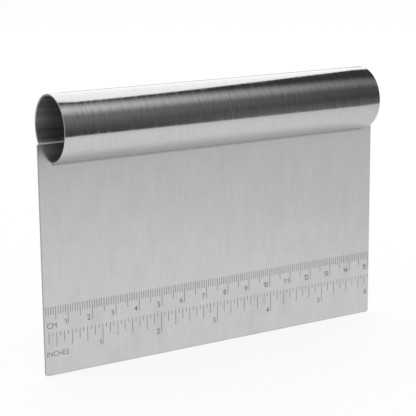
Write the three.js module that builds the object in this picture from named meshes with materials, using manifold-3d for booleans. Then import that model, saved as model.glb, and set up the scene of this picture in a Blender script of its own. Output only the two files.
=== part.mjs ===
import * as THREE from "three";
import { mergeVertices } from "three/addons/utils/BufferGeometryUtils.js";
import Module from "manifold-3d";

// Dough scraper: a flat steel blade seated in the slit of a round tube handle and welded along both sides.
// Millimetres. X runs along the tube, -Y is the face that carries the scales, Z is up.
// The origin is the middle of the scraping edge, in the mid-plane of the blade.

// Blade
const bladeWidth = 150;
const bladeThickness = 1;
const bladeExposed = 79.4; // scraping edge to the underside of the tube
const bladeInsertion = 7.7; // top edge above the underside of the tube
const bladeCornerRadius = 0.8;
const bladeCornerSegments = 6;
const groundEdgeLand = 0.6; // flat left along the scraping edge
const groundEdgeHeight = 1.2;

// Tube handle
const tubeDiameter = 25;
const tubeWall = 0.6;
const tubeLength = 140;
const tubeSegments = 120;
const slitClearance = 0.1; // on each side of the blade

// Seam welds
const weldLeg = 1;
const weldHollow = 0.12; // how far the bead's face dips between its two toes
const weldEndSetback = 0.5; // from each end of the tube
const weldSegments = 6;
const weldFit = 0.04; // between a bead and the steel that it joins

const tubeRadius = tubeDiameter / 2;
const boreRadius = tubeRadius - tubeWall;
const tubeAxisHeight = bladeExposed + tubeRadius;
const bladeHeight = bladeExposed + bladeInsertion;
const bladeHalfThickness = bladeThickness / 2;
const slitHalfWidth = bladeHalfThickness + slitClearance;

const wasm = await Module();
wasm.setup();

// A profile in (Y, Z) drawn along X, centred on X = 0.
function drawAlongX(profile, length) {
  const geometry = new THREE.ExtrudeGeometry(new THREE.Shape(profile), {
    depth: length,
    bevelEnabled: false,
  });
  const toYZ = new THREE.Matrix4().makeBasis(
    new THREE.Vector3(0, 1, 0),
    new THREE.Vector3(0, 0, 1),
    new THREE.Vector3(1, 0, 0),
  );
  return geometry.translate(0, 0, -length / 2).applyMatrix4(toYZ);
}

// An outline in (X, Z) drawn along Y, centred on Y = 0.
function drawAlongY(outline, depth, curveSegments) {
  const geometry = new THREE.ExtrudeGeometry(outline, {
    depth,
    bevelEnabled: false,
    curveSegments,
  });
  return geometry.translate(0, 0, -depth / 2).rotateX(Math.PI / 2);
}

function solidFrom(geometry) {
  const bare = geometry.clone();
  bare.deleteAttribute("normal");
  bare.deleteAttribute("uv");
  const merged = mergeVertices(bare);
  return new wasm.Manifold(
    new wasm.Mesh({
      numProp: 3,
      vertProperties: merged.attributes.position.array,
      triVerts: new Uint32Array(merged.index.array),
    }),
  );
}

function geometryFrom(solid) {
  const mesh = solid.getMesh();
  const geometry = new THREE.BufferGeometry();
  geometry.setAttribute("position", new THREE.BufferAttribute(mesh.vertProperties, 3));
  geometry.setIndex(new THREE.BufferAttribute(mesh.triVerts, 1));
  geometry.computeVertexNormals();
  return geometry;
}

// Points (Y, Z) on a circle about the tube's axis. Angles run from straight down towards +Y.
function arcAboutTube(radius, fromAngle, toAngle, segments) {
  return Array.from({ length: segments + 1 }, (_, i) => {
    const angle = THREE.MathUtils.lerp(fromAngle, toAngle, i / segments);
    return new THREE.Vector2(radius * Math.sin(angle), tubeAxisHeight - radius * Math.cos(angle));
  });
}

// The angle at which a circle about the tube's axis stands a given distance from the mid-plane.
function angleAt(distance, radius) {
  return Math.asin(distance / radius);
}

// A rectangle with rounded corners, standing on Z = 0.
function bladeOutline() {
  const half = bladeWidth / 2;
  const r = bladeCornerRadius;
  return new THREE.Shape()
    .absarc(half - r, r, r, -Math.PI / 2, 0)
    .absarc(half - r, bladeHeight - r, r, 0, Math.PI / 2)
    .absarc(r - half, bladeHeight - r, r, Math.PI / 2, Math.PI)
    .absarc(r - half, r, r, Math.PI, Math.PI * 1.5);
}

// The sheet with its outline cut and both faces ground in towards the scraping edge.
function bladeGeometry() {
  const land = groundEdgeLand / 2;
  const section = [
    new THREE.Vector2(-land, 0),
    new THREE.Vector2(land, 0),
    new THREE.Vector2(bladeHalfThickness, groundEdgeHeight),
    new THREE.Vector2(bladeHalfThickness, bladeHeight),
    new THREE.Vector2(-bladeHalfThickness, bladeHeight),
    new THREE.Vector2(-bladeHalfThickness, groundEdgeHeight),
  ];
  const sheet = solidFrom(drawAlongX(section, bladeWidth));
  const blank = solidFrom(drawAlongY(bladeOutline(), bladeThickness * 2, bladeCornerSegments));
  return geometryFrom(sheet.intersect(blank));
}

// A ring left open at the bottom by a slit with parallel sides.
function tubeGeometry() {
  const outside = angleAt(slitHalfWidth, tubeRadius);
  const inside = angleAt(slitHalfWidth, boreRadius);
  const fullTurn = Math.PI * 2;
  const section = [
    ...arcAboutTube(tubeRadius, outside, fullTurn - outside, tubeSegments),
    ...arcAboutTube(boreRadius, fullTurn - inside, inside, tubeSegments),
  ];
  return drawAlongX(section, tubeLength);
}

// A slightly hollow fillet in the corner between the tube's underside and the blade, on the +Y side.
function weldGeometry() {
  const rootRadius = tubeRadius + weldFit;
  const bladeSide = bladeHalfThickness + weldFit;
  const along = arcAboutTube(
    rootRadius,
    angleAt(bladeSide, rootRadius),
    angleAt(bladeSide + weldLeg, rootRadius),
    weldSegments,
  );
  const corner = along[0];
  const tubeToe = along[weldSegments];
  const bladeToe = new THREE.Vector2(bladeSide, corner.y - weldLeg);
  const middle = tubeToe.clone().add(bladeToe).divideScalar(2);
  const towardsCorner = corner.clone().sub(middle).setLength(weldHollow * 2);
  const face = new THREE.QuadraticBezierCurve(tubeToe, middle.add(towardsCorner), bladeToe);
  const section = [...face.getPoints(weldSegments), ...along.slice(0, -1)];
  return drawAlongX(section, tubeLength - weldEndSetback * 2);
}

function addPiece(group, name, geometry, material) {
  const mesh = new THREE.Mesh(geometry, new THREE.MeshStandardMaterial(material));
  mesh.name = name;
  group.add(mesh);
  return mesh;
}

const bladeSteel = { color: 0xc4c4c4, roughness: 0.38, metalness: 1 };
const tubeSteel = { color: 0xb8b8b8, roughness: 0.3, metalness: 1 };
const weldSteel = { color: 0xa6a6a6, roughness: 0.45, metalness: 1 };

const scraper = new THREE.Group();
scraper.name = "dough_scraper";
addPiece(scraper, "blade", bladeGeometry(), bladeSteel);
addPiece(scraper, "handle_tube", tubeGeometry(), tubeSteel);
addPiece(scraper, "weld_back", weldGeometry(), weldSteel);
addPiece(scraper, "weld_front", weldGeometry(), weldSteel).rotation.z = Math.PI;

export default scraper;
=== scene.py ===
import math

import bmesh
import bpy
from mathutils import Matrix, Vector


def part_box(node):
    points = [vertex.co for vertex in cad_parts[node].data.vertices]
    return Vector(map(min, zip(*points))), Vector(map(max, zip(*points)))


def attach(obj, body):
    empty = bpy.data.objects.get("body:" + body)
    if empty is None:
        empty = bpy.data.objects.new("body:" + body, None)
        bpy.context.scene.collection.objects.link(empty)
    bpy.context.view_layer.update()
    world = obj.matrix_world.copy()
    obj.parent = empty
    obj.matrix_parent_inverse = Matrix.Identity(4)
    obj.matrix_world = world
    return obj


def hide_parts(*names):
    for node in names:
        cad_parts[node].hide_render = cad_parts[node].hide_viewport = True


mm = 0.001
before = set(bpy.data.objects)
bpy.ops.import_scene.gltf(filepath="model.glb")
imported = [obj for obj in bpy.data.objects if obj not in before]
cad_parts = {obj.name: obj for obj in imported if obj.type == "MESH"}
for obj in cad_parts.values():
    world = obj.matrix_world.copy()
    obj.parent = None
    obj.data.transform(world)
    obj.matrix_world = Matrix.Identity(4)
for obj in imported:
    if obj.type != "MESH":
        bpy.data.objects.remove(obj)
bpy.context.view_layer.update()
bladeLow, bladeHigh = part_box("blade")
tubeLow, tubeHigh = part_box("handle_tube")
weldLow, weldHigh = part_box("weld_back")
tubeRadius = (tubeHigh.y - tubeLow.y) / 2
tubeAxisZ = tubeHigh.z - tubeRadius
bladeHalf = bladeHigh.y  # half the sheet's thickness


# shader sums: a wire is one socket, and sums on wires add their nodes

class Wire:
    def __init__(self, tree, socket=None):
        self.tree = tree
        self.socket = socket

    def node(self, kind, settings=None, inputs=None, output=0):
        made = self.tree.nodes.new(kind)
        for key, value in (settings or {}).items():
            setattr(made, key, value)
        for key, value in (inputs or {}).items():
            if isinstance(value, Wire):
                self.tree.links.new(value.socket, made.inputs[key])
            else:
                made.inputs[key].default_value = value
        return Wire(self.tree, made.outputs[output] if made.outputs else None)

    def sum(self, operation, first, second):
        return self.node("ShaderNodeMath", {"operation": operation}, {0: first, 1: second})

    def __add__(self, other):
        return self.sum("ADD", self, other)

    def __radd__(self, other):
        return self.sum("ADD", other, self)

    def __sub__(self, other):
        return self.sum("SUBTRACT", self, other)

    def __rsub__(self, other):
        return self.sum("SUBTRACT", other, self)

    def __mul__(self, other):
        return self.sum("MULTIPLY", self, other)

    def __rmul__(self, other):
        return self.sum("MULTIPLY", other, self)

    def __abs__(self):
        return self.node("ShaderNodeMath", {"operation": "ABSOLUTE"}, {0: self})

    def grain(self, pitch, detail=3, rough=0.6):
        # noise whose cell is pitch = (x, y, z) metres
        place = self.node("ShaderNodeTexCoord", output="Object")
        scaled = self.node(
            "ShaderNodeVectorMath",
            {"operation": "DIVIDE"},
            {0: place, 1: pitch},
        )
        inputs = {"Vector": scaled, "Scale": 1, "Detail": detail, "Roughness": rough}
        return self.node("ShaderNodeTexNoise", {}, inputs)

    def ramp(self, value, fromStart, fromEnd, toStart, toEnd, shape="LINEAR"):
        inputs = {0: value, 1: fromStart, 2: fromEnd, 3: toStart, 4: toEnd}
        return self.node("ShaderNodeMapRange", {"interpolation_type": shape}, inputs)

    def grey(self, level):
        # the same value on all three channels
        return self.node("ShaderNodeCombineColor", {}, {"Red": level, "Green": level, "Blue": level})


def newMaterial(name):
    material = bpy.data.materials.new(name)
    material.use_nodes = True
    material.node_tree.nodes.clear()
    return material, Wire(material.node_tree)


def finishSurface(wire, shader):
    wire.node("ShaderNodeOutputMaterial", {}, {"Surface": shader})


# metals

sheetSteel = {
    "level": 0.55, "levelSwing": 0.08,
    "roughness": 0.2, "roughnessSwing": 0.1,
    "grainPitch": (0.5 * mm, 4 * mm, 11 * mm),
    "cloudPitch": (8 * mm, 8 * mm, 11 * mm), "cloudSwing": 0.07,
    "bump": 0.1, "bumpDepth": 0.004 * mm,
    "smudgePitch": (10 * mm, 10 * mm, 20 * mm), "smudgeFrom": 32 * mm, "smudgeTo": 16 * mm, "smudge": 0.12,
}


def brushedSheet():
    s = sheetSteel
    material, wire = newMaterial("brushedSheet")
    grain = wire.grain(s["grainPitch"])
    cloud = wire.grain(s["cloudPitch"], detail=2)
    place = wire.node("ShaderNodeTexCoord", output="Object")
    height = wire.node("ShaderNodeSeparateXYZ", {}, {0: place}, "Z")
    low = wire.ramp(height, s["smudgeFrom"], s["smudgeTo"], 0, s["smudge"])
    smudge = wire.sum("MAXIMUM", wire.grain(s["smudgePitch"], detail=1) - 0.5, 0) * low
    level = s["level"] + (grain - 0.5) * s["levelSwing"] + (cloud - 0.5) * s["cloudSwing"] - smudge
    roughness = s["roughness"] + (grain - 0.5) * s["roughnessSwing"] + smudge
    bumped = wire.node(
        "ShaderNodeBump", {}, {"Strength": s["bump"], "Distance": s["bumpDepth"], "Height": grain}
    )
    shader = wire.node(
        "ShaderNodeBsdfPrincipled",
        {},
        {"Base Color": wire.grey(level), "Metallic": 1, "Roughness": roughness, "Normal": bumped},
    )
    finishSurface(wire, shader)
    return material


tubeSteel = {
    "level": 0.53, "levelSwing": 0.08,
    # heights above the axis between which the grain's colour swing is painted stronger on the front only: a
    # painted sheen where the front's reflections would show the brushing, while the grain itself runs all
    # round
    "shoulderLow": 0.5 * mm, "shoulderHigh": 10 * mm, "shoulderSoft": 3.5 * mm, "paintedSheenSwing": 0.4,
    "roughness": 0.1, "quiet": 0.45, "scratch": 0.3,
    "grainPitch": (0.55 * mm, 6 * mm, 6 * mm), "streakPitch": (1.6 * mm, 14 * mm, 14 * mm),
    "bump": 1, "bumpDepth": 0.04 * mm,
    # depths below the axis between which the surface turns satin towards the seam
    "dressFrom": 4 * mm, "dressTo": 9.5 * mm, "dress": 0.32,
}


def polishedTube():
    s = tubeSteel
    material, wire = newMaterial("polishedTube")
    grain = wire.grain(s["grainPitch"])
    streak = wire.grain(s["streakPitch"], detail=2)
    place = wire.node("ShaderNodeTexCoord", output="Object")
    height = wire.node("ShaderNodeSeparateXYZ", {}, {0: place}, "Z") - tubeAxisZ
    depth = wire.node("ShaderNodeSeparateXYZ", {}, {0: place}, "Y")
    soft = s["shoulderSoft"]
    front = wire.ramp(depth, 0, -soft, 0, 1)
    rising = wire.ramp(height, s["shoulderLow"], s["shoulderLow"] + soft, 0, 1)
    falling = wire.ramp(height, s["shoulderHigh"], s["shoulderHigh"] - soft, 0, 1)
    # the front band where the grain contrast is painted stronger, a painted sheen
    shoulder = front * rising * falling
    swing = (grain + streak - 1) * s["levelSwing"] + (grain - 0.5) * shoulder * s["paintedSheenSwing"]
    level = s["level"] + swing
    scratches = wire.sum("MAXIMUM", grain - s["quiet"], 0) + wire.sum("MAXIMUM", streak - s["quiet"], 0)
    dressed = wire.ramp(0 - height, s["dressFrom"], s["dressTo"], 0, 1)
    roughness = s["roughness"] + scratches * s["scratch"] + dressed * s["dress"]
    ridges = (grain + streak) * (1 - dressed)
    bumped = wire.node(
        "ShaderNodeBump", {}, {"Strength": s["bump"], "Distance": s["bumpDepth"], "Height": ridges}
    )
    shader = wire.node(
        "ShaderNodeBsdfPrincipled",
        {},
        {"Base Color": wire.grey(level), "Metallic": 1, "Roughness": roughness, "Normal": bumped},
    )
    finishSurface(wire, shader)
    return material


boreSteel = {
    "level": 0.6, "levelSwing": 1.2,
    "roughness": 0.4, "roughnessSwing": 0.2,
    "drawPitch": (90 * mm, 3 * mm, 3 * mm),
}


def drawnBore():
    s = boreSteel
    material, wire = newMaterial("drawnBore")
    drawn = wire.grain(s["drawPitch"])
    level = s["level"] + (drawn - 0.5) * s["levelSwing"]
    roughness = s["roughness"] + (drawn - 0.5) * s["roughnessSwing"]
    shader = wire.node(
        "ShaderNodeBsdfPrincipled",
        {},
        {"Base Color": wire.grey(level), "Metallic": 1, "Roughness": roughness},
    )
    finishSurface(wire, shader)
    return material


# one sheared steel in two copies: the upward-facing cut edges get a much paler level, a painted highlight of
# light from above; the side and lower cut edges get a darker level, painted shade
cutSteelPaintedLight = {
    "side": {"level": 0.34, "levelSwing": 0.1, "roughness": 0.45},
    "top": {"level": 0.9, "levelSwing": 0.1, "roughness": 0.75},
    "pitch": (0.4 * mm, 0.4 * mm, 0.4 * mm),
}


def shearedEdge(edge):
    s = cutSteelPaintedLight[edge]
    material, wire = newMaterial("shearedEdge" + edge.title())
    torn = wire.grain(cutSteelPaintedLight["pitch"])
    shader = wire.node(
        "ShaderNodeBsdfPrincipled",
        {},
        {
            "Base Color": wire.grey(s["level"] + (torn - 0.5) * s["levelSwing"]),
            "Metallic": 1,
            "Roughness": s["roughness"],
        },
    )
    finishSurface(wire, shader)
    return material


weldSteel = {
    "level": 0.36, "levelSwing": 0.1, "roughness": 0.36, "roughnessSwing": 0.2, "pitch": (0.5 * mm,) * 3,
}


def weldMetal():
    s = weldSteel
    material, wire = newMaterial("weldMetal")
    mottle = wire.grain(s["pitch"])
    shader = wire.node(
        "ShaderNodeBsdfPrincipled",
        {},
        {
            "Base Color": wire.grey(s["level"] + (mottle - 0.5) * s["levelSwing"]),
            "Metallic": 1,
            "Roughness": s["roughness"] + (mottle - 0.5) * s["roughnessSwing"],
        },
    )
    finishSurface(wire, shader)
    return material


etchedSteel = {"level": 0.22, "levelSwing": 0.1, "roughness": 0.6, "pitch": (0.15 * mm,) * 3}


def etchedMark():
    s = etchedSteel
    material, wire = newMaterial("etchedMark")
    fleck = wire.grain(s["pitch"])
    shader = wire.node(
        "ShaderNodeBsdfPrincipled",
        {},
        {
            "Base Color": wire.grey(s["level"] + (fleck - 0.5) * s["levelSwing"]),
            "Metallic": 0.7,
            "Roughness": s["roughness"],
        },
    )
    finishSurface(wire, shader)
    return material


print("metals made")


# meshes: each piece is a row of sections, and a section has two sides of equal count

joinReach = {"sections": 0.0005 * mm, "marks": 0.0001 * mm}  # points this close become one


def loftSections(name, sections, sharpAngle):
    mesh = bmesh.new()
    count = len(sections[0][0])
    rows = []
    for first, second in sections:
        rows.append([[mesh.verts.new(p) for p in side] for side in (first, second)])
    for (a, b), (c, d) in zip(rows, rows[1:]):
        for i in range(count - 1):
            mesh.faces.new((a[i], a[i + 1], c[i + 1], c[i]))
            mesh.faces.new((b[i], d[i], d[i + 1], b[i + 1]))
        mesh.faces.new((a[0], c[0], d[0], b[0]))
        mesh.faces.new((a[-1], b[-1], d[-1], c[-1]))
    for a, b in (rows[0], rows[-1]):
        for i in range(count - 1):
            mesh.faces.new((a[i], b[i], b[i + 1], a[i + 1]))
    bmesh.ops.remove_doubles(mesh, verts=mesh.verts, dist=joinReach["sections"])
    bmesh.ops.recalc_face_normals(mesh, faces=mesh.faces)
    for face in mesh.faces:
        face.smooth = True
    for edge in mesh.edges:
        edge.smooth = edge.calc_face_angle(0) < math.radians(sharpAngle)
    return placeMesh(name, mesh)


def placeMesh(name, mesh):
    data = bpy.data.meshes.new(name)
    mesh.to_mesh(data)
    mesh.free()
    piece = bpy.data.objects.new(name, data)
    bpy.context.scene.collection.objects.link(piece)
    return piece


def spread(low, high, count):
    return [low + (high - low) * i / count for i in range(count + 1)]


def quarterTurn(steps):
    return spread(0, math.pi / 2, steps)


# blade: flat sheet, small round corners, both faces ground in to the edge

bladeShape = {
    "cornerRadius": 0.8 * mm, "cornerSteps": 6,
    "land": 0.6 * mm, "grind": 1.2 * mm, "deburr": 0.45 * mm, "deburrDepth": 0.22 * mm,
    "columns": 60, "rows": 36,
    "edgeBreak": 0.09 * mm, "edgeBreakAngle": 30, "sharpAngle": 6,
    "topFacing": 0.2, "sheetFacing": 0.5,  # parts of a normal that tell the cut edges from the faces
}


def makeBlade():
    s = bladeShape
    r = s["cornerRadius"]
    height = bladeHigh.z
    bottom = [r * (1 - math.cos(t)) for t in quarterTurn(s["cornerSteps"])]
    heights = set(bottom) | {height - z for z in bottom} | {s["grind"], height - s["deburr"]}
    heights |= set(spread(s["grind"], height - r, s["rows"]))

    def halfWidth(z):
        dip = r - min(z, height - z, r)
        return bladeHigh.x - r + math.sqrt(max(r * r - dip * dip, 0))

    def halfThick(z):
        share = min(z / s["grind"], 1)
        worn = max(1 - (height - z) / s["deburr"], 0)
        return s["land"] / 2 + (bladeHalf - s["land"] / 2) * share - s["deburrDepth"] * worn

    sections = []
    for z in sorted(heights):
        across = spread(-halfWidth(z), halfWidth(z), s["columns"])
        thick = halfThick(z)
        sections.append(([(x, -thick, z) for x in across], [(x, thick, z) for x in across]))
    piece = loftSections("blade_sheet", sections, s["sharpAngle"])
    broken = piece.modifiers.new("edgeBreak", "BEVEL")
    broken.width = s["edgeBreak"]
    broken.segments = 2
    broken.limit_method = "ANGLE"
    broken.angle_limit = math.radians(s["edgeBreakAngle"])
    broken.harden_normals = True
    piece.data.materials.append(brushedSheet())
    piece.data.materials.append(shearedEdge("side"))
    piece.data.materials.append(shearedEdge("top"))
    # upward-facing cut edges take the pale copy, a painted highlight; the other cut edges take the dark
    # copy, painted shade
    for face in piece.data.polygons:
        if face.normal.z > s["topFacing"]:
            face.material_index = 2
        elif abs(face.normal.y) < s["sheetFacing"]:
            face.material_index = 1
    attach(piece, "root")
    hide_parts("blade")


makeBlade()
print("blade made")


# tube: open ring with a slit below, its two lips rounded over

tubeShape = {
    "wall": 0.6 * mm, "slit": 1.2 * mm, "lip": 0.2 * mm, "lipSteps": 4,
    "around": 192, "along": 20, "sharpAngle": 40,
    "boreFacing": -0.5,  # a face that looks this far inwards belongs to the bore
}


def ringArc(radius, slitHalf, steps):
    start = math.asin(slitHalf / radius)
    return [
        (radius * math.sin(t), tubeAxisZ - radius * math.cos(t))
        for t in spread(start, 2 * math.pi - start, steps)
    ]


def makeTube():
    s = tubeShape
    end = tubeHigh.x
    lip = s["lip"]
    turned = [(end - lip * (1 - math.sin(t)), lip * (1 - math.cos(t))) for t in quarterTurn(s["lipSteps"])]
    middle = [(x, 0) for x in spread(lip - end, end - lip, s["along"])]
    stations = [(-x, dip) for x, dip in reversed(turned)] + middle[1:-1] + turned
    sections = []
    for x, dip in stations:
        outer = ringArc(tubeRadius - dip, s["slit"] / 2, s["around"])
        inner = ringArc(tubeRadius - s["wall"] + dip, s["slit"] / 2, s["around"])
        sections.append(([(x, *p) for p in outer], [(x, *p) for p in inner]))
    piece = loftSections("handle_tube_shell", sections, s["sharpAngle"])
    piece.data.materials.append(polishedTube())
    piece.data.materials.append(drawnBore())
    axis = Vector((0, 0, tubeAxisZ))
    for face in piece.data.polygons:
        spoke = face.center - axis
        spoke.x = 0
        if spoke.dot(face.normal) < s["boreFacing"] * spoke.length:
            face.material_index = 1
    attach(piece, "root")
    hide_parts("handle_tube")


makeTube()
print("tube made")


# welds: a drawn bead in each corner under the tube, with a fine ripple

weldShape = {
    "hollow": 0.12 * mm, "ripplePitch": 0.9 * mm, "rippleDepth": 0.05 * mm,
    "stepsPerRipple": 6, "across": 8, "sharpAngle": 50,
}


def makeWeld(name, node, side):
    s = weldShape
    root = Vector((weldLow.y, weldHigh.z))
    leg = weldHigh.y - weldLow.y
    corner = Vector((root.x, weldLow.z + leg))
    tubeToe = Vector((weldHigh.y, root.y))
    bladeToe = Vector((root.x, weldLow.z))
    inward = (corner - bladeToe.lerp(tubeToe, 0.5)).normalized()
    length = weldHigh.x - weldLow.x
    ripples = round(length / s["ripplePitch"])
    sections = []
    for x in spread(weldLow.x, weldHigh.x, ripples * s["stepsPerRipple"]):
        phase = (x - weldLow.x) / length * ripples
        dip = s["hollow"] + s["rippleDepth"] * (1 - abs(math.cos(math.pi * phase)))
        backing, face = [], []
        for u in spread(0, 1, s["across"]):
            along = bladeToe.lerp(corner, 2 * u) if u < 0.5 else corner.lerp(tubeToe, 2 * u - 1)
            front = bladeToe.lerp(tubeToe, u) + inward * dip * 4 * u * (1 - u)
            backing.append((x, side * along.x, along.y))
            face.append((x, side * front.x, front.y))
        sections.append((backing, face))
    piece = loftSections(name, sections, s["sharpAngle"])
    piece.data.materials.append(weldMetal())
    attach(piece, "root")
    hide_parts(node)


makeWeld("weld_bead_back", "weld_back", 1)
makeWeld("weld_bead_front", "weld_front", -1)
print("welds made")


# rulers: etched ticks, numbers and unit words on the front face

etchDepth = {"proud": 0.012 * mm, "sunk": 0.03 * mm}
cmScale = {
    "zero": -75.3 * mm, "unit": 10 * mm, "parts": 10, "last": 15,
    "top": 26.4 * mm, "width": 0.24 * mm,
    "lengths": {10: 7.5 * mm, 5: 5.2 * mm, 1: 3.1 * mm},
    "numberHeight": 2.1 * mm, "numberFoot": 18.9 * mm, "numberGap": 0.7 * mm,
    "numberStem": 0.32 * mm, "numberPitch": 1.5 * mm, "numberBold": 0.025 * mm,
}
inchScale = {
    "zero": -76.5 * mm, "unit": 25.4 * mm, "parts": 16, "last": 6,
    "top": 16.5 * mm, "width": 0.24 * mm,
    "lengths": {16: 8 * mm, 4: 5.7 * mm, 2: 4 * mm, 1: 1.6 * mm},
    "numberHeight": 2.1 * mm, "numberFoot": 8.2 * mm, "numberGap": 0.7 * mm,
    "numberStem": 0.32 * mm, "numberPitch": 1.5 * mm, "numberBold": 0.025 * mm,
}
flag = {"reach": 0.3, "drop": 0.28, "width": 0.8}  # of a one: shares of its height and its stem
unitWords = (
    {"text": "CM", "left": -74.1 * mm, "foot": 18.1 * mm, "height": 2.1 * mm, "widen": 0.95},
    {"text": "INCHES", "left": -74.6 * mm, "foot": 7.3 * mm, "height": 1.9 * mm, "widen": 0.98},
)


def tickLength(scale, step):
    whole = max(d for d in scale["lengths"] if step % d == 0)
    return scale["lengths"][whole]


def addStroke(mesh, start, end, width):
    # start and end are (x, z) on the front face
    front = -bladeHalf - etchDepth["proud"]
    back = -bladeHalf + etchDepth["sunk"]
    run = Vector(end) - Vector(start)
    middle = (Vector(start) + Vector(end)) / 2
    place = Matrix.Translation((middle.x, (front + back) / 2, middle.y))
    turn = Matrix.Rotation(-math.atan2(run.y, run.x), 4, "Y")
    size = Matrix.Diagonal((run.length, back - front, width, 1))
    bmesh.ops.create_cube(mesh, size=1, matrix=place @ turn @ size)


def addText(mesh, text, height, x, foot, widen=1, align="LEFT", bold=0):
    curve = bpy.data.curves.new("figure", "FONT")
    curve.body = text
    curve.align_x = align
    curve.offset = bold
    curve.extrude = (etchDepth["proud"] + etchDepth["sunk"]) / 2
    letters = bpy.data.objects.new("figure", curve)
    bpy.context.scene.collection.objects.link(letters)
    capHeight = 0.69  # of the letters at size 1
    curve.size = height / capHeight
    letters.matrix_world = (
        Matrix.Translation((x, -bladeHalf + (etchDepth["sunk"] - etchDepth["proud"]) / 2, foot))
        @ Matrix.Rotation(math.pi / 2, 4, "X")
        @ Matrix.Diagonal((widen, 1, 1, 1))
    )
    bpy.context.view_layer.update()
    flat = bpy.data.meshes.new_from_object(letters.evaluated_get(bpy.context.evaluated_depsgraph_get()))
    flat.transform(letters.matrix_world)
    mesh.from_mesh(flat)
    bpy.data.objects.remove(letters)
    bpy.data.meshes.remove(flat)
    bpy.data.curves.remove(curve)


def addNumber(mesh, number, scale, right):
    # figures from the right, with the ones drawn as a stem and a flag
    height, foot, stem = scale["numberHeight"], scale["numberFoot"], scale["numberStem"]
    for figure in reversed(str(number)):
        if figure == "1":
            x = right - stem / 2
            top = foot + height
            addStroke(mesh, (x, foot), (x, top), stem)
            tip = (x - flag["reach"] * height, top - flag["drop"] * height)
            addStroke(mesh, (x, top - stem / 2), tip, stem * flag["width"])
        else:
            addText(mesh, figure, height, right, foot, align="RIGHT", bold=scale["numberBold"])
        right -= scale["numberPitch"]


def dressMarks(name, mesh, material):
    bmesh.ops.remove_doubles(mesh, verts=mesh.verts, dist=joinReach["marks"])
    bmesh.ops.recalc_face_normals(mesh, faces=mesh.faces)
    piece = placeMesh(name, mesh)
    piece.data.materials.append(material)
    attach(piece, "root")


def makeScale(name, scale, material):
    ticks = bmesh.new()
    numbers = bmesh.new()
    clear = bladeHigh.x - scale["width"]
    for step in range(scale["parts"] * scale["last"] + 1):
        x = scale["zero"] + scale["unit"] * step / scale["parts"]
        if abs(x) < clear:
            foot = scale["top"] - tickLength(scale, step)
            addStroke(ticks, (x, foot), (x, scale["top"]), scale["width"])
    for number in range(1, scale["last"] + 1):
        x = min(scale["zero"] + scale["unit"] * number, clear) - scale["numberGap"]
        addNumber(numbers, number, scale, x)
    dressMarks(name + "_ticks", ticks, material)
    dressMarks(name + "_numbers", numbers, material)


def makeRulers():
    material = etchedMark()
    makeScale("etched_cm", cmScale, material)
    makeScale("etched_inch", inchScale, material)
    words = bmesh.new()
    for word in unitWords:
        addText(words, word["text"], word["height"], word["left"], word["foot"], word["widen"])
    dressMarks("etched_units", words, material)


makeRulers()
print("rulers made")


# camera at the photograph's angle

photoView = {
    "azimuth": -31.8, "elevation": 12.56, "roll": -0.54,
    "distance": 532.2 * mm, "target": (-4.51 * mm, -0.98 * mm, 55 * mm),
    "lens": 119.4, "clipStart": 10 * mm,
}


def makeCamera():
    s = photoView
    az, el, roll = (math.radians(s[key]) for key in ("azimuth", "elevation", "roll"))
    back = Vector((math.sin(az) * math.cos(el), -math.cos(az) * math.cos(el), math.sin(el)))
    right = (-back).cross(Vector((0, 0, 1))).normalized()
    up = right.cross(-back)
    level = Matrix((right, up, back)).transposed()
    data = bpy.data.cameras.new("photoCamera")
    data.lens = s["lens"]
    data.clip_start = s["clipStart"]
    camera = bpy.data.objects.new("photoCamera", data)
    turned = level @ Matrix.Rotation(roll, 3, "Z")
    camera.matrix_world = Matrix.Translation(Vector(s["target"]) + back * s["distance"]) @ turned.to_4x4()
    bpy.context.scene.collection.objects.link(camera)
    bpy.context.scene.camera = camera


makeCamera()
print("camera set")


# studio: pale floor, white surround, one large soft lamp, and cards that only the steel mirrors

studio = {
    "surround": 1,
    "floorLevel": 0.9, "floorGlow": 0.84, "floorSize": 12, "floorGap": 0.05 * mm,
    "lampPlace": (0.62, 0.68, 0.9), "lampAim": (0, 0, 0.06), "lampSize": 1.3, "lampPower": 2.8,
}


def seenRays(wire):
    path = "ShaderNodeLightPath"
    camera = wire.node(path, output="Is Camera Ray")
    glossy = wire.node(path, output="Is Glossy Ray")
    clear = wire.node(path, output="Is Transmission Ray")
    return wire.sum("MAXIMUM", wire.sum("MAXIMUM", camera, glossy), clear)


def makeSurround():
    world = bpy.data.worlds.new("surround")
    bpy.context.scene.world = world
    world.use_nodes = True
    world.node_tree.nodes.clear()
    wire = Wire(world.node_tree)
    white = wire.node("ShaderNodeBackground", {}, {"Color": (1, 1, 1, 1), "Strength": studio["surround"]})
    wire.node("ShaderNodeOutputWorld", {}, {"Surface": white})


def makeFloor():
    mesh = bmesh.new()
    bmesh.ops.create_grid(mesh, x_segments=1, y_segments=1, size=studio["floorSize"] / 2)
    floor = placeMesh("floor", mesh)
    floor.location.z = bladeLow.z - studio["floorGap"]
    material, wire = newMaterial("paleFloor")
    level = studio["floorLevel"]
    matt = wire.node("ShaderNodeBsdfDiffuse", {}, {"Color": (level, level, level, 1)})
    glow = wire.node("ShaderNodeEmission", {}, {"Color": (1, 1, 1, 1), "Strength": 1})
    share = seenRays(wire) * studio["floorGlow"]
    pale = wire.node("ShaderNodeMixShader", {}, {0: share, 1: matt, 2: glow})
    # seen from below the floor is clear
    under = wire.node("ShaderNodeNewGeometry", output="Backfacing")
    clear = wire.node("ShaderNodeBsdfTransparent")
    finishSurface(wire, wire.node("ShaderNodeMixShader", {}, {0: under, 1: pale, 2: clear}))
    floor.data.materials.append(material)


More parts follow.
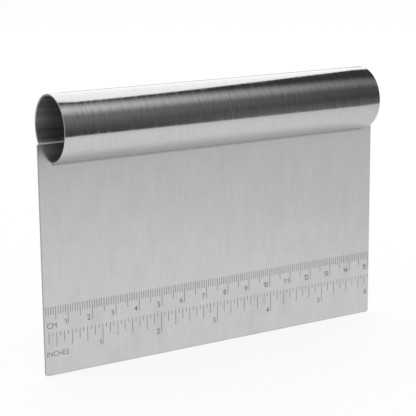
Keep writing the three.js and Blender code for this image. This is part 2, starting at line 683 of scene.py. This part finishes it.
def makeLamp():
    data = bpy.data.lights.new("softLamp", "AREA")
    data.size = studio["lampSize"]
    data.energy = studio["lampPower"]
    lamp = bpy.data.objects.new("softLamp", data)
    lamp.location = studio["lampPlace"]
    aim = Vector(studio["lampAim"]) - lamp.location
    lamp.rotation_euler = aim.to_track_quat("-Z", "Y").to_euler()
    bpy.context.scene.collection.objects.link(lamp)


def mirrorOnly(card):
    card.visible_camera = False
    card.visible_diffuse = False
    card.visible_shadow = False


darkCard = {
    "radius": 55 * mm, "left": -150 * mm, "right": 200 * mm, "columns": 60, "rows": 48,
    # angles in degrees about the tube's axis, from level at the front
    "foot": -19.5, "top": 88, "highest": 170,
    "rise": 32, "riseFrom": -40 * mm, "riseOver": 130 * mm, "risePower": 1.7,
    "ground": 0.05,
    "streakAngle": 61, "streakReach": 26, "hazeAngle": 36, "hazeReach": 54, "haze": 0.3,
    "streakFrom": -60 * mm, "streakTo": 95 * mm, "streakNear": 0.72, "streakFar": 0.2,
    "paleAngle": 10, "paleFrom": -40 * mm, "paleTo": 40 * mm, "pale": 0.15,
}


def cardLevel(wire):
    # dark, with one streak and a haze below it that fade to the right, and a paler foot there
    s = darkCard
    place = wire.node("ShaderNodeTexCoord", output="Object")
    x, y, z = (wire.node("ShaderNodeSeparateXYZ", {}, {0: place}, axis) for axis in "XYZ")
    angle = wire.sum("ARCTAN2", z - tubeAxisZ, 0 - y) * (180 / math.pi)
    streak = wire.ramp(abs(angle - s["streakAngle"]), s["streakReach"], 0, 0, 1, "SMOOTHSTEP")
    haze = wire.ramp(abs(angle - s["hazeAngle"]), s["hazeReach"], 0, 0, s["haze"], "SMOOTHSTEP")
    strength = wire.ramp(x, s["streakFrom"], s["streakTo"], s["streakNear"], s["streakFar"])
    foot = wire.ramp(angle, s["paleAngle"], s["foot"], 0, s["pale"])
    towardsRight = wire.ramp(x, s["paleFrom"], s["paleTo"], 0, 1)
    return wire.grey(s["ground"] + (streak + haze) * strength + foot * towardsRight)


def makeCard():
    s = darkCard
    mesh = bmesh.new()
    grid = []
    for x in spread(s["left"], s["right"], s["columns"]):
        across = max((x - s["riseFrom"]) / s["riseOver"], 0)
        top = min(s["top"] + s["rise"] * across ** s["risePower"], s["highest"])
        column = []
        for angle in spread(math.radians(s["foot"]), math.radians(top), s["rows"]):
            place = (x, -s["radius"] * math.cos(angle), tubeAxisZ + s["radius"] * math.sin(angle))
            column.append(mesh.verts.new(place))
        grid.append(column)
    for a, b in zip(grid, grid[1:]):
        for j in range(s["rows"]):
            mesh.faces.new((a[j], b[j], b[j + 1], a[j + 1]))
    card = placeMesh("darkCard", mesh)
    material, wire = newMaterial("darkCard")
    finishSurface(wire, wire.node("ShaderNodeEmission", {}, {"Color": cardLevel(wire)}))
    card.data.materials.append(material)
    mirrorOnly(card)


backCard = {
    "radius": 55 * mm, "left": -150 * mm, "right": 150 * mm, "low": 160, "high": 198, "rows": 24,
    "edge": 0.55, "middle": 0.16, "middleReach": 0.1,  # reach as a share of the card's height
}


def makeBackCard():
    # a soft grey band behind, mirrored only where the tube is seen from the back
    s = backCard
    mesh = bmesh.new()
    grid = []
    for angle in spread(math.radians(s["low"]), math.radians(s["high"]), s["rows"]):
        y = -s["radius"] * math.cos(angle)
        z = tubeAxisZ + s["radius"] * math.sin(angle)
        grid.append([mesh.verts.new((x, y, z)) for x in (s["left"], s["right"])])
    for (a, b), (c, d) in zip(grid, grid[1:]):
        mesh.faces.new((a, b, d, c))
    card = placeMesh("backCard", mesh)
    material, wire = newMaterial("backCard")
    place = wire.node("ShaderNodeTexCoord", output="Generated")
    up = wire.node("ShaderNodeSeparateXYZ", {}, {0: place}, "Z")
    level = wire.ramp(abs(up - 0.5), s["middleReach"], 0.5, s["middle"], s["edge"])
    finishSurface(wire, wire.node("ShaderNodeEmission", {}, {"Color": wire.grey(level)}))
    card.data.materials.append(material)
    mirrorOnly(card)


greySheet = {
    "left": -500 * mm, "right": 800 * mm, "front": -800 * mm, "back": -0.45 * mm, "lift": 0.5 * mm,
    "centre": (0, -40 * mm, 0), "near": 90 * mm, "far": 300 * mm, "nearLevel": 1, "farLevel": 0.8,
}


def makeSheet():
    # the floor as the front of the metal mirrors it: palest close by
    s = greySheet
    mesh = bmesh.new()
    near = [mesh.verts.new((s[side], s["front"], s["lift"])) for side in ("left", "right")]
    far = [mesh.verts.new((s[side], s["back"], s["lift"])) for side in ("right", "left")]
    mesh.faces.new(near + far)
    sheet = placeMesh("greySheet", mesh)
    material, wire = newMaterial("greySheet")
    place = wire.node("ShaderNodeTexCoord", output="Object")
    reach = wire.node("ShaderNodeVectorMath", {"operation": "DISTANCE"}, {0: place, 1: s["centre"]}, "Value")
    level = wire.ramp(reach, s["near"], s["far"], s["nearLevel"], s["farLevel"])
    finishSurface(wire, wire.node("ShaderNodeEmission", {}, {"Color": wire.grey(level)}))
    sheet.data.materials.append(material)
    mirrorOnly(sheet)


makeSurround()
makeFloor()
makeLamp()
makeCard()
makeBackCard()
makeSheet()
bpy.context.scene.view_settings.view_transform = "Standard"
print("studio lit")
